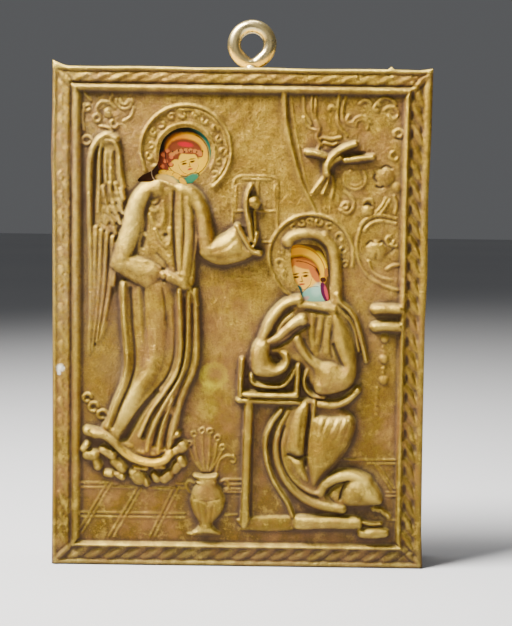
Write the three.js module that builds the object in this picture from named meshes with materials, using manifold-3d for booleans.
// A small icon: a stamped brass cover folded over a wooden board, with two windows
// onto a printed picture and a screw-eye on top. Millimetres, +Z up, front faces -Y.
// The origin is at the middle of the underside.

import * as THREE from "three";
import { mergeVertices } from "three/addons/utils/BufferGeometryUtils.js";
import Module from "manifold-3d";

const wasm = await Module();
wasm.setup();

// Driving dimensions
const PLAQUE = { width: 60, height: 80 };
const SHEET = 0.3;
const BACK_LIP = 3;
const BOARD_DEPTH = 8;
const BOARD_CLEARANCE = 0.2;
const PICTURE = { thickness: 0.3, clearance: 0.1 };
const RELIEF = 2;
const RIM = { width: 0.9, height: 0.7 };
const ROPE = { width: 2.3, bedHeight: 0.45, strandHeight: 1, strandWidth: 1.8, pitch: 3 };
const INNER_BAND = { width: 1.1, height: 0.9 };
const EYE = {
  ringRadius: 2.85,
  wireRadius: 1.08,
  offset: 1.35,
  collarRadius: 1.4,
  neckRadius: 1,
  collarHeight: 0.3,
  shankRadius: 0.9,
  shankLength: 6,
  pointLength: 1.2,
  clearance: 0.2,
};
const EARS = [
  { side: -1, reach: 2.4, rise: 0.9 },
  { side: 1, reach: 2, rise: 0.35 },
];

// Worked out from them, front to back
const PICTURE_ROOM = PICTURE.clearance + PICTURE.thickness;
const BODY_DEPTH = SHEET + PICTURE_ROOM + BOARD_DEPTH + SHEET;
const FIELD_Y = (RELIEF - BODY_DEPTH) / 2;
const BACK_Y = FIELD_Y + BODY_DEPTH;
const BOARD_FRONT_Y = FIELD_Y + SHEET + PICTURE_ROOM;
const BOARD_MIDDLE_Y = BOARD_FRONT_Y + BOARD_DEPTH / 2;
const FRAME_WIDTH = RIM.width + ROPE.width + INNER_BAND.width;

// The relief is drawn in a field of this size, then fitted to the real field
const DRAWN = { width: 51.4, height: 71.4, bottom: 4.3 };
const FIELD = { width: PLAQUE.width - 2 * FRAME_WIDTH, height: PLAQUE.height - 2 * FRAME_WIDTH };
const FIT = { x: FIELD.width / DRAWN.width, z: FIELD.height / DRAWN.height };
const FIT_WIDTH = Math.min(FIT.x, FIT.z);

// How far a raised form reaches back into the sheet, and its edge with it
const SINK = SHEET / 2;
const EDGE_SINK = SHEET / 6;

// Solids

function solid(geometry) {
  const bare = geometry.index ? geometry.clone() : mergeVertices(geometry);
  bare.deleteAttribute("normal");
  bare.deleteAttribute("uv");
  const merged = mergeVertices(bare, 1e-5);
  return new wasm.Manifold(new wasm.Mesh({
    numProp: 3,
    vertProperties: new Float32Array(merged.attributes.position.array),
    triVerts: new Uint32Array(merged.index.array),
  }));
}

function piece(name, shape, look) {
  const { vertProperties, triVerts } = shape.getMesh();
  const geometry = new THREE.BufferGeometry();
  geometry.setAttribute("position", new THREE.BufferAttribute(vertProperties, 3));
  geometry.setIndex(new THREE.BufferAttribute(triVerts, 1));
  const mesh = new THREE.Mesh(geometry, new THREE.MeshStandardMaterial({ flatShading: true, ...look }));
  mesh.name = name;
  return mesh;
}

function joined(shapes) {
  return shapes.reduce((whole, shape) => whole.add(shape));
}

/** A box between two corners. */
function block([x0, y0, z0], [x1, y1, z1]) {
  const geometry = new THREE.BoxGeometry(x1 - x0, y1 - y0, z1 - z0);
  geometry.translate((x0 + x1) / 2, (y0 + y1) / 2, (z0 + z1) / 2);
  return solid(geometry);
}

/** An outline in x and z, run from y = back towards the front. */
function prism(shape, back, front, curveSegments = 6) {
  const geometry = new THREE.ExtrudeGeometry(shape, {
    depth: back - front,
    bevelEnabled: false,
    curveSegments,
  });
  geometry.rotateX(Math.PI / 2);
  geometry.translate(0, back, 0);
  return solid(geometry);
}

/** A moulding run round the plaque's front and mitred at its four corners.
    Its profile is a list of [distance in from the plaque's edge, height]. */
function moulding(profile) {
  const farOut = PLAQUE.width;
  const closed = [...profile, profile[0]];
  const points = closed.map(([inset, height]) => new THREE.Vector2(farOut - inset, height));
  const geometry = new THREE.LatheGeometry(points, 4, Math.PI / 4);
  geometry.rotateX(Math.PI);
  const position = geometry.attributes.position;
  for (let i = 0; i < position.count; i++) {
    const x = position.getX(i);
    const z = position.getZ(i);
    const inset = farOut - Math.hypot(x, z);
    position.setXYZ(
      i,
      Math.sign(x) * (PLAQUE.width / 2 - inset),
      FIELD_Y + position.getY(i),
      PLAQUE.height / 2 + Math.sign(z) * (PLAQUE.height / 2 - inset),
    );
  }
  return solid(geometry);
}

// Drawing on the field

function onField(x, z) {
  const fieldBottom = (PLAQUE.height - FIELD.height) / 2;
  return new THREE.Vector3(x * FIT.x, FIELD_Y, fieldBottom + (z - DRAWN.bottom) * FIT.z);
}

/** A raised ridge along a straight or curved line on the front, with blunt ends.
    Its size runs evenly from ends[0] to ends[1] times the width and height given. */
function bar(line, width, height, steps, sides, ends = [1, 1]) {
  const curve = new THREE.CatmullRomCurve3(line, false, "centripetal");
  const cap = Math.min(0.25, (0.3 * width) / curve.getLength());
  const geometry = new THREE.SphereGeometry(1, sides, steps);
  const position = geometry.attributes.position;
  for (let i = 0; i < position.count; i++) {
    const row = Math.round((Math.acos(position.getY(i)) / Math.PI) * steps);
    const tip = row === 0 || row === steps;
    const share = tip ? row / steps : cap + (1 - 2 * cap) * ((row - 1) / (steps - 2));
    const middle = curve.getPointAt(share);
    const tangent = curve.getTangentAt(share);
    const size = tip ? 0 : THREE.MathUtils.lerp(ends[0], ends[1], share);
    const ring = Math.sin((row * Math.PI) / steps) || 1;
    const lift = position.getZ(i) / ring;
    const out = (position.getX(i) / ring) * size * width / 2;
    const up = lift > 0.01 ? lift * size * height : (lift < -0.01 ? -SINK : -EDGE_SINK);
    position.setXYZ(i, middle.x - tangent.z * out, FIELD_Y - up, middle.z + tangent.x * out);
  }
  return solid(geometry);
}

/** A ridge in the relief: a line of drawn points, its drawn width, and its height
    as a share of the highest relief. */
function ridge(line, width, height, { steps = 6, sides = 6, ends } = {}) {
  const points = line.map(([x, z]) => onField(x, z));
  return bar(points, width * FIT_WIDTH, height * RELIEF, steps, sides, ends);
}

/** A rounded swelling inside an outline of drawn points, which go clockwise. */
function swelling(outline, height, { sides = 12, steps = 6 } = {}) {
  const points = outline.map(([x, z]) => onField(x, z));
  const rim = new THREE.CatmullRomCurve3(points, true, "centripetal");
  const middle = points.reduce((sum, p) => sum.add(p), new THREE.Vector3())
    .divideScalar(points.length);
  const geometry = new THREE.SphereGeometry(1, sides, steps);
  const position = geometry.attributes.position;
  for (let i = 0; i < position.count; i++) {
    const up = position.getY(i);
    const ring = Math.sqrt(Math.max(0, 1 - up * up));
    const turn = (Math.atan2(position.getZ(i), position.getX(i)) / (2 * Math.PI) + 1) % 1;
    const at = middle.clone().lerp(rim.getPointAt(turn), ring);
    const lift = up > 0.01 ? up * height * RELIEF : (up < -0.01 ? -SINK : -EDGE_SINK);
    position.setXYZ(i, at.x, FIELD_Y - lift, at.z);
  }
  return solid(geometry);
}

/** A small round swelling. */
function knob(x, z, radius, height, sides = 8) {
  const outline = circle(x, z, radius, sides);
  return swelling(outline, height, { sides, steps: 4 });
}

/** Points round a drawn circle, clockwise from its right-hand side. */
function circle(x, z, radius, count) {
  return Array.from({ length: count }, (_, i) => {
    const angle = (-2 * Math.PI * i) / count;
    return [x + radius * Math.cos(angle), z + radius * Math.sin(angle)];
  });
}

/** Points along a drawn arc; angles in degrees, anticlockwise from the right. */
function arc(x, z, radius, from, to, count) {
  return Array.from({ length: count }, (_, i) => {
    const angle = THREE.MathUtils.degToRad(from + ((to - from) * i) / (count - 1));
    return [x + radius * Math.cos(angle), z + radius * Math.sin(angle)];
  });
}

/** The line at a share of the way from one line to another. */
function between(lineA, lineB, share) {
  return lineA.map(([x, z], i) => [
    x + (lineB[i][0] - x) * share,
    z + (lineB[i][1] - z) * share,
  ]);
}

/** Several ridges side by side from one line to another, at the given shares. */
function folds(lineA, lineB, shares, width, height, detail) {
  return shares.map((share) => ridge(between(lineA, lineB, share), width, height, detail));
}

/** A thin line engraved from behind, so that it stands a little proud. */
function thread(line, steps = 3) {
  return ridge(line, 0.5, 0.13, { steps, sides: 4 });
}

// The border: outer rim, twisted rope, inner band

function strand(x, z, across, along) {
  const ends = [
    new THREE.Vector3(x - across, 0, z + along),
    new THREE.Vector3(x + across, 0, z - along),
  ];
  return bar(ends, ROPE.strandWidth, ROPE.strandHeight, 3, 4);
}

function rope() {
  const inset = RIM.width + ROPE.width / 2;
  const middle = { x: PLAQUE.width / 2 - inset, z: PLAQUE.height / 2 - inset };
  const strands = [];
  const alongX = Math.round((2 * middle.x) / ROPE.pitch);
  const alongZ = Math.round((2 * middle.z) / ROPE.pitch);
  const across = ROPE.width * 0.48;
  const lean = ROPE.pitch * 0.34;
  for (const side of [-1, 1]) {
    for (let i = 0; i < alongX; i++) {
      const x = middle.x * ((2 * i + 1) / alongX - 1);
      strands.push(strand(x, PLAQUE.height / 2 + side * middle.z, -lean, across));
    }
    for (let i = 0; i < alongZ; i++) {
      const z = PLAQUE.height / 2 + middle.z * ((2 * i + 1) / alongZ - 1);
      strands.push(strand(side * middle.x, z, across, lean));
    }
  }
  return strands;
}

function border() {
  const ropeIn = RIM.width + ROPE.width;
  const bandIn = ropeIn + INNER_BAND.width;
  return [
    moulding([
      [0, -SINK],
      [0, RIM.height * 0.7],
      [RIM.width * 0.35, RIM.height],
      [RIM.width * 0.7, RIM.height],
      [RIM.width, ROPE.bedHeight],
      [ropeIn, ROPE.bedHeight],
      [ropeIn + INNER_BAND.width * 0.3, INNER_BAND.height],
      [ropeIn + INNER_BAND.width * 0.65, INNER_BAND.height],
      [bandIn, -SINK],
    ]),
    ...rope(),
  ];
}

// The left-hand figure, standing, with one arm raised

const ANGEL_HALO = { x: -8.9, z: 66.9, radius: 7.2 };

function halo({ x, z, radius }, from, to, curls) {
  const shapes = [ridge(arc(x, z, radius, from, to, 12), 0.9, 0.28, { steps: 15, sides: 4 })];
  for (let i = 0; i < curls; i++) {
    const turn = from + ((to - from) * (i + 0.5)) / curls;
    const angle = THREE.MathUtils.degToRad(turn);
    const reach = radius * 0.79;
    const curl = arc(x + reach * Math.cos(angle), z + reach * Math.sin(angle), radius * 0.12,
      turn - 60, turn + 150, 4);
    shapes.push(ridge(curl, 0.6, 0.2, { steps: 4, sides: 4 }));
  }
  return shapes;
}

function wing() {
  const outerEdge = [[-23.7, 58], [-23.8, 50], [-23.7, 42], [-24, 34.6]];
  const innerEdge = [[-21, 57.5], [-21.3, 50], [-21.2, 44], [-21.2, 39]];
  return [
    ridge([[-19.8, 67.4], [-21.3, 68.9], [-23.2, 67.6], [-24, 64.6], [-24.1, 60], [-23.8, 54]], 1.5, 0.5,
      { steps: 9 }),
    ridge([[-19.7, 67.6], [-19.4, 64.5], [-18.7, 60.6]], 1, 0.4),
    ...folds([[-21.6, 66], [-21.7, 61.4]], [[-20.5, 65.6], [-20.4, 61.4]], [0, 1], 0.9, 0.35, { steps: 3 }),
    ...folds(outerEdge, innerEdge, [0, 0.35, 0.68, 1], 1.2, 0.4, { steps: 4, sides: 4, ends: [1, 0.5] }),
    ...[60, 57, 54].flatMap((z, i) => [
      knob(-21 + i * 0.25, z, 1, 0.42, 6),
      knob(-19.5 + i * 0.1, z + 0.8, 0.9, 0.42, 6),
    ]),
  ];
}

function angelRobe() {
  const outerFold = [[-17.9, 45], [-17.6, 40], [-17.2, 34], [-18.6, 29.8], [-20.6, 25], [-21.7, 21.8]];
  const innerFold = [[-7.6, 44], [-7, 40], [-7, 33], [-8.3, 28.6], [-10.3, 24], [-12, 19.6]];
  const skirt = [[-17.6, 45.4], [-12, 46.4], [-7.2, 45], [-6.6, 38], [-7, 32], [-9.4, 26], [-12, 19],
    [-16.6, 18.4], [-21.8, 21.6], [-19.4, 27.6], [-17.2, 33.4], [-17.6, 40]];
  const hem = [[-22.8, 21.2], [-20.6, 20.5], [-18.2, 18.6], [-15.6, 17.5], [-13, 17.2], [-10.9, 18.6]];
  return [
    swelling(skirt, 0.5, { steps: 4 }),
    ...folds(outerFold, innerFold, [0.02, 0.52, 0.68, 0.84, 0.99], 1.7, 0.66, { steps: 7 }),
    ...folds(outerFold, innerFold, [0.26], 4.2, 0.88, { steps: 7, sides: 8, ends: [0.9, 0.75] }),
    ridge(hem, 1.8, 0.75),
    ridge([[-20.8, 18.2], [-19, 16.8], [-17, 15.4]], 1.4, 0.5, { steps: 4, sides: 6 }),
  ];
}

function angelBody() {
  const body = [[-14.5, 61.5], [-10, 61], [-7, 58.5], [-6.8, 52], [-8, 45], [-15, 45], [-17, 52]];
  const sleeve = [[-18.6, 50.2], [-15, 50.4], [-12, 48.9], [-12.1, 47], [-14.4, 44.8], [-17.6, 46],
    [-20, 48]];
  const chestLeft = [[-14.2, 60], [-14.6, 55], [-13.4, 50.4]];
  const chestRight = [[-7.6, 58.6], [-7.8, 54], [-8.6, 46.6]];
  return [
    swelling(body, 0.55, { steps: 4 }),
    ridge([[-12.6, 61.4], [-15.4, 60.4], [-17.4, 57.6], [-18.6, 54], [-19.4, 51], [-19.6, 48.6]], 3.1, 0.85,
      { steps: 7, sides: 8 }),
    swelling(sleeve, 1),
    ridge([[-12.2, 47.4], [-10.2, 46.3], [-8.1, 45.3]], 1.9, 0.85),
    ridge([[-13.6, 62.2], [-12, 61.4], [-10.4, 60.8], [-8.4, 61.3]], 0.9, 0.6),
    ridge([[-9.6, 60.5], [-7.4, 59.4], [-6, 56.8], [-5.2, 53.8], [-4.4, 51.6]], 2.8, 0.8, { sides: 8 }),
    ...folds(chestLeft, chestRight, [0.62, 0.8, 1], 0.9, 0.68, { steps: 5 }),
    ridge([[-14.4, 54.8], [-12.8, 52.6], [-11.4, 54.6]], 1.2, 0.72, { steps: 4, sides: 4 }),
  ];
}

function raisedArm() {
  const sleeve = [[-4.4, 53], [-2.6, 53.6], [-0.6, 55], [0.6, 53.2], [2.8, 50.8], [0, 49], [-3.4, 48.8],
    [-6.2, 50.2]];
  const cuff = [[-0.5, 55], [0.4, 53.3], [1.6, 51.6], [3, 50.9]];
  return [
    swelling(sleeve, 0.92, { sides: 14 }),
    ridge(cuff, 0.9, 0.98),
    ridge([[2.4, 51.8], [1.7, 54.4], [1.2, 56.4]], 1.6, 0.7),
    ridge([[1.2, 56], [0.9, 58.8], [1.4, 61.4]], 0.9, 0.6),
    knob(1.9, 58.8, 1, 0.6),
  ];
}

function clouds() {
  const puffs = [
    [-23.6, 21.4, 1.4], [-24.2, 18.4, 1.3], [-22.4, 16.8, 1.3], [-20.6, 15.4, 1], [-18.4, 14.6, 1.1],
    [-15.8, 14.3, 1.3], [-13, 14.7, 1.2], [-10.6, 15.9, 1.3], [-9, 17.2, 1], [-9.5, 19.4, 1.3],
    [-10.2, 21.4, 0.9],
  ];
  return [
    ...puffs.map(([x, z, radius]) => knob(x, z, radius, 0.5, 6)),
    ...[0, 1, 2].map((i) => knob(-24.3 + i * 1.15, 26.7 - i * 0.95, 0.7, 0.25, 6)),
  ];
}

// The right-hand figure, kneeling at a reading desk

const VIRGIN_HALO = { x: 11.3, z: 50.3, radius: 6.8 };

function veilAndShoulders() {
  const body = [[12, 42], [15.5, 41.5], [18.4, 37.5], [19, 32.5], [15, 30], [10.5, 31], [10, 38]];
  return [
    swelling(body, 0.5, { steps: 4 }),
    ridge([[7.8, 53.1], [10, 54.3], [12.6, 53.9], [14.3, 51.8], [14.9, 48.5], [15, 43.4]], 2.2, 0.62,
      { steps: 9, sides: 8 }),
    ridge([[15.4, 44.2], [17.4, 41.8], [19.2, 38.8], [20, 34]], 1.2, 0.5),
    ridge([[9.3, 43.6], [6.6, 42.4], [4.7, 39.6], [3.4, 36.2]], 1.7, 0.75),
    ridge([[9.6, 43], [11.6, 42.4], [14.4, 42.8]], 1.2, 0.68),
    ...folds([[12.2, 41], [12.4, 38.6], [12.6, 36]], [[15.4, 42], [16, 39.5], [15.6, 35.6]],
      [0, 0.5, 1], 1.1, 0.7, { steps: 5 }),
  ];
}

function prayingArms() {
  const leftSleeve = [[2, 36.4], [5, 36.6], [8.2, 34.6], [7.4, 31.4], [4.8, 30.2], [2.4, 30.9],
    [1.6, 33.4]];
  const rightSleeve = [[12.6, 33.4], [16, 34], [18.6, 32], [17.4, 29], [14.4, 28.2], [12, 30.6]];
  return [
    knob(10.3, 40.2, 1.5, 0.9, 8),
    ridge([[10.4, 40], [7.4, 38.6], [4.4, 36.4]], 2, 0.88, { steps: 5, sides: 8 }),
    swelling(leftSleeve, 0.95),
    ridge([[8, 35], [8, 33.4], [6.8, 32.4], [5.6, 33.2]], 0.9, 0.98),
    ridge([[9.4, 37], [11, 34.8], [12.6, 33]], 1.7, 0.8),
    ridge([[16.8, 39.6], [17.8, 36], [17.6, 32.8], [15.6, 30.8]], 3.2, 0.85, { sides: 8 }),
    swelling(rightSleeve, 0.9, { sides: 10 }),
    ridge([[12.8, 26.6], [15.4, 26.2], [18, 27.4], [19.2, 29]], 1.8, 0.62),
  ];
}

function virginRobe() {
  const outerSweep = [[9, 26.6], [6.8, 23.8], [6.1, 19.6], [7, 15], [9.6, 11.6], [14, 10], [16.8, 9.8]];
  const innerSweep = [[9.9, 25], [8.4, 22.6], [7.9, 19.6], [8.8, 16], [10.6, 13.2], [13.6, 11.4],
    [16, 11.2]];
  const thigh = [[11.6, 24.8], [15, 25.2], [18.4, 24.4], [18.2, 21], [16.4, 17.8], [13.8, 15.2],
    [11.4, 14.6], [10.9, 19]];
  const lapFold = [[10.4, 26.4], [11.4, 22.5], [10.9, 18.8], [7.9, 19.2], [8.2, 23]];
  const trailingCloth = [[17, 14.6], [19.8, 15.6], [22.4, 13.6], [23.2, 11.2], [20.6, 10], [17.2, 10.6]];
  return [
    ...folds(outerSweep, innerSweep, [0, 0.8], 1.1, 0.5, { steps: 8 }),
    swelling(thigh, 0.95, { sides: 14 }),
    swelling(lapFold, 0.75, { sides: 9, steps: 4 }),
    ridge([[8.4, 18], [9.4, 16.2], [10.6, 14.8]], 1.8, 0.6),
    ridge([[13.2, 12.6], [13.8, 14.3], [16, 15.6], [18.4, 15.7], [20.4, 15]], 1.9, 0.75),
    swelling(trailingCloth, 0.95, { sides: 10 }),
    ridge([[21.8, 10.2], [23.3, 9.2], [24.4, 8]], 1.4, 0.5),
  ];
}

function readingDesk() {
  return [
    ridge([[6.3, 25.6], [4.3, 21], [4.6, 16], [6.6, 12], [9.2, 8.2]], 1.3, 0.45, { steps: 8 }),
    ridge([[1.5, 26.6], [1.2, 17], [0.9, 7.4]], 1.4, 0.5, { steps: 4 }),
    thread([[2.8, 25.8], [2.5, 8]]),
    ridge([[0.2, 28], [9.4, 28]], 1.5, 0.7, { steps: 3 }),
    ridge([[0.4, 33.6], [0.1, 28.6]], 1.1, 0.55, { steps: 3 }),
    ridge([[9.5, 33], [9.2, 28.6]], 1.2, 0.55, { steps: 3 }),
    ridge([[1.6, 29.8], [5, 29.4], [7.6, 29.8], [8.6, 31.4]], 0.9, 0.6),
    ridge([[8.8, 7.8], [20, 7.8]], 1.4, 0.65, { steps: 3 }),
    ridge([[1.2, 6.4], [9.6, 6.8]], 1.1, 0.45, { steps: 3 }),
    ridge([[19.3, 6.9], [20.4, 5.7], [24.4, 5.7]], 1.4, 0.5, { steps: 5 }),
  ];
}

// The room: curtain, window, vase and floor

function curtain() {
  const scroll = (x, z, radius, from, to) => ridge(arc(x, z, radius, from, to, 7), 0.7, 0.2,
    { steps: 7, sides: 4 });
  return [
    ridge([[6.3, 75.8], [7.2, 69.5], [9, 62.6], [11.6, 57.4]], 1.6, 0.28, { sides: 6 }),
    ridge([[11.1, 75.6], [11.3, 72.5], [12, 69.6]], 1, 0.22, { sides: 6, steps: 4 }),
    ridge([[10.4, 66.9], [13.6, 66]], 1.3, 0.5, { steps: 4 }),
    ridge([[13.6, 64], [14.6, 66.2], [16.4, 67.6], [18.2, 68.4]], 1.4, 0.55),
    ridge([[16.6, 65.7], [20.6, 66.2]], 1.1, 0.45, { steps: 4 }),
    ...folds([[13.2, 64.2], [11.2, 60.4]], [[14.2, 63.8], [13.2, 60]], [0, 1], 0.9, 0.35, { steps: 4 }),
    scroll(18, 63.3, 1.8, -30, 250),
    scroll(17, 58.5, 1.5, -200, 60),
    scroll(22.2, 63, 1.4, 20, 200),
    scroll(22.5, 52.5, 4, 70, 280),
    scroll(22.4, 49.4, 2.2, 100, 300),
    scroll(18.9, 71.3, 1.3, -20, 200),
    scroll(23.4, 73.2, 1.6, 60, 330),
    ...[42.6, 39.3].map((z) => ridge([[20.8, z], [25.2, z]], 2, 0.6, { steps: 4 })),
    ...[37, 33.6, 30].map((z) => knob(23.1, z, 1, 0.25, 6)),
  ];
}

function roomWindow() {
  return [
    thread([[-1.1, 56.6], [-1.1, 62.6]]),
    thread([[-1.1, 62.6], [5.4, 62.6]]),
    thread([[5.6, 62.4], [5.6, 55]]),
    thread([[-1.1, 57.4], [5.6, 57.4]]),
  ];
}

function vase() {
  const pot = [[-6.8, 14.6], [-3.6, 14.6], [-2.5, 11.5], [-3.2, 8.4], [-4.2, 6.2], [-6.1, 6.2],
    [-7.2, 8.4], [-7.8, 11.5]];
  const stems = [[-7.6, 20.4], [-6.2, 21], [-4.9, 20.8], [-3.6, 20.2]];
  return [
    swelling(pot, 0.6, { sides: 10, steps: 4 }),
    ridge([[-7, 15], [-3.5, 15]], 0.9, 0.5, { steps: 4, sides: 6 }),
    ridge([[-7.4, 5.5], [-3, 5.5]], 1, 0.4, { steps: 4, sides: 6 }),
    ridge(arc(-8, 13.6, 1.2, 60, 280, 5), 0.6, 0.3, { sides: 4 }),
    ...stems.map(([x, z]) => thread([[-5.2 + (x + 5.2) * 0.3, 15.4], [x, z]])),
    ...stems.map(([x, z]) => knob(x, z + 0.5, 0.6, 0.22, 6)),
    ridge([[-3.5, 15.2], [-2.8, 17.6], [-1, 18]], 0.6, 0.22, { steps: 4, sides: 4 }),
  ];
}

function floorLines() {
  const rows = [
    [-25.4, -9, 13.4], [-25.4, -8.6, 8], [-2, 0.4, 13.6], [17, 25.2, 17.6], [24.4, 25.2, 12.4],
  ];
  const joints = [[[-21.2, 13], [-25.2, 6]], [[-16.3, 12.6], [-20.6, 4.6]], [[-10.6, 12.8], [-14.2, 4.6]]];
  return [
    ...rows.map(([x0, x1, z]) => thread([[x0, z], [x1, z]])),
    ...joints.map((line) => thread(line)),
    thread([[22, 17], [25, 12.6]]),
  ];
}

function cornerScrolls() {
  return [
    ridge(arc(-22, 72.6, 1.6, 40, 250, 5), 0.6, 0.22, { steps: 5, sides: 4 }),
    ridge(arc(-18.5, 74.4, 1.2, 170, 370, 5), 0.5, 0.18, { steps: 4, sides: 4 }),
    knob(-21.4, 72.4, 0.7, 0.22, 6),
  ];
}

// The brass cover

function windowPlane(shape) {
  return prism(shape, FIELD_Y + SHEET * 2, FIELD_Y - RELIEF * 2);
}

function fieldShape(points) {
  const flat = points.map(([x, z]) => onField(x, z)).map((p) => new THREE.Vector2(p.x, p.z));
  return new THREE.Shape(flat);
}

function windows() {
  const angelDisc = circle(-9, 66.4, 4.15, 28);
  const hairLobe = [[-13, 65.4], [-13.6, 64], [-16.3, 62.5], [-14.8, 62], [-12.4, 62.4], [-10.6, 61.3],
    [-9, 61.6], [-7.6, 62.2], [-6.2, 63.4]];
  const virginArch = [[8, 51.6], [9.4, 52.1], [11.4, 52], [13, 51], [14, 48.6], [14.3, 43.6], [10.2, 43.4],
    [9, 45.4], [8.2, 47.8]];
  return [angelDisc, hairLobe, virginArch].map((outline) => windowPlane(fieldShape(outline)));
}

function ear({ side, reach, rise }) {
  const corner = side * PLAQUE.width / 2;
  const shape = new THREE.Shape([
    new THREE.Vector2(corner, PLAQUE.height - SHEET),
    new THREE.Vector2(corner, PLAQUE.height + rise),
    new THREE.Vector2(corner - side * reach, PLAQUE.height),
    new THREE.Vector2(corner - side * reach, PLAQUE.height - SHEET),
  ]);
  return prism(shape, FIELD_Y + SHEET, FIELD_Y - RIM.height * 0.5);
}

function tray() {
  const outside = { x: PLAQUE.width / 2, z: PLAQUE.height };
  const inside = { x: outside.x - SHEET, low: SHEET, high: outside.z - SHEET };
  const opening = inside.x - BACK_LIP;
  const shell = block([-outside.x, FIELD_Y, 0], [outside.x, BACK_Y, outside.z])
    .subtract(block(
      [-inside.x, FIELD_Y + SHEET, inside.low],
      [inside.x, BACK_Y - SHEET, inside.high],
    ));
  return shell.subtract(block(
    [-opening, BACK_Y - 2 * SHEET, inside.low + BACK_LIP],
    [opening, BACK_Y + SHEET, inside.high - BACK_LIP],
  ));
}

function shankHole(depth) {
  const radius = EYE.shankRadius + EYE.clearance;
  const hole = new THREE.CylinderGeometry(radius, radius, depth + 1, 12);
  hole.rotateX(Math.PI / 2);
  hole.translate(EYE.offset, BOARD_MIDDLE_Y, PLAQUE.height + (1 - depth) / 2);
  return solid(hole);
}

/** The space in front of the sheet that the drawn relief keeps to, inside the rim. */
function reliefRoom() {
  const side = PLAQUE.width / 2 - RIM.width;
  return block(
    [-side, FIELD_Y - 2 * RELIEF, RIM.width],
    [side, FIELD_Y + SHEET, PLAQUE.height - RIM.width],
  );
}

function brassCover() {
  const drawn = joined([
    ...halo(ANGEL_HALO, -48, 205, 6), ...halo(VIRGIN_HALO, -20, 205, 5),
    ...wing(), ...angelRobe(), ...angelBody(), ...raisedArm(), ...clouds(),
    ...veilAndShoulders(), ...prayingArms(), ...virginRobe(), ...readingDesk(),
    ...curtain(), ...roomWindow(), ...vase(), ...floorLines(), ...cornerScrolls(),
  ]).intersect(reliefRoom());
  return joined([tray(), ...border(), ...EARS.map(ear), drawn])
    .subtract(joined([...windows(), shankHole(2 * SHEET)]));
}

// The pieces inside, and the eye

function board() {
  const side = PLAQUE.width / 2 - SHEET - BOARD_CLEARANCE;
  const top = PLAQUE.height - SHEET - BOARD_CLEARANCE;
  return block([-side, BOARD_FRONT_Y, SHEET], [side, BOARD_FRONT_Y + BOARD_DEPTH, top])
    .subtract(shankHole(EYE.shankLength + EYE.clearance));
}

function pictureCard() {
  const side = PLAQUE.width / 2 - SHEET - BOARD_CLEARANCE;
  const top = PLAQUE.height - SHEET - BOARD_CLEARANCE;
  return block([-side, BOARD_FRONT_Y - PICTURE.thickness, SHEET], [side, BOARD_FRONT_Y, top]);
}

function hangingEye() {
  const ringBottom = EYE.collarHeight;
  const middle = ringBottom + EYE.wireRadius + EYE.ringRadius;
  const shank = new THREE.LatheGeometry([
    new THREE.Vector2(0, -EYE.shankLength),
    new THREE.Vector2(EYE.shankRadius, EYE.pointLength - EYE.shankLength),
    new THREE.Vector2(EYE.shankRadius, 0),
    new THREE.Vector2(EYE.collarRadius, 0),
    new THREE.Vector2(EYE.neckRadius, ringBottom + EYE.wireRadius),
    new THREE.Vector2(0, ringBottom + EYE.wireRadius),
  ], 12);
  const ring = new THREE.TorusGeometry(EYE.ringRadius, EYE.wireRadius, 8, 22);
  ring.translate(0, middle, 0);
  return [shank, ring].map((geometry) => {
    geometry.rotateX(Math.PI / 2);
    geometry.translate(EYE.offset, BOARD_MIDDLE_Y, PLAQUE.height);
    return solid(geometry);
  });
}

const model = new THREE.Group();
model.add(
  piece("brass_cover", brassCover(), { color: 0x8f7a45, roughness: 0.42, metalness: 0.9 }),
  piece("printed_picture", pictureCard(), { color: 0xd9a832, roughness: 0.5, metalness: 0 }),
  piece("wooden_board", board(), { color: 0xa9825a, roughness: 0.75, metalness: 0 }),
  piece("hanging_eye", joined(hangingEye()), { color: 0xc9b076, roughness: 0.3, metalness: 0.95 }),
);

export default model;
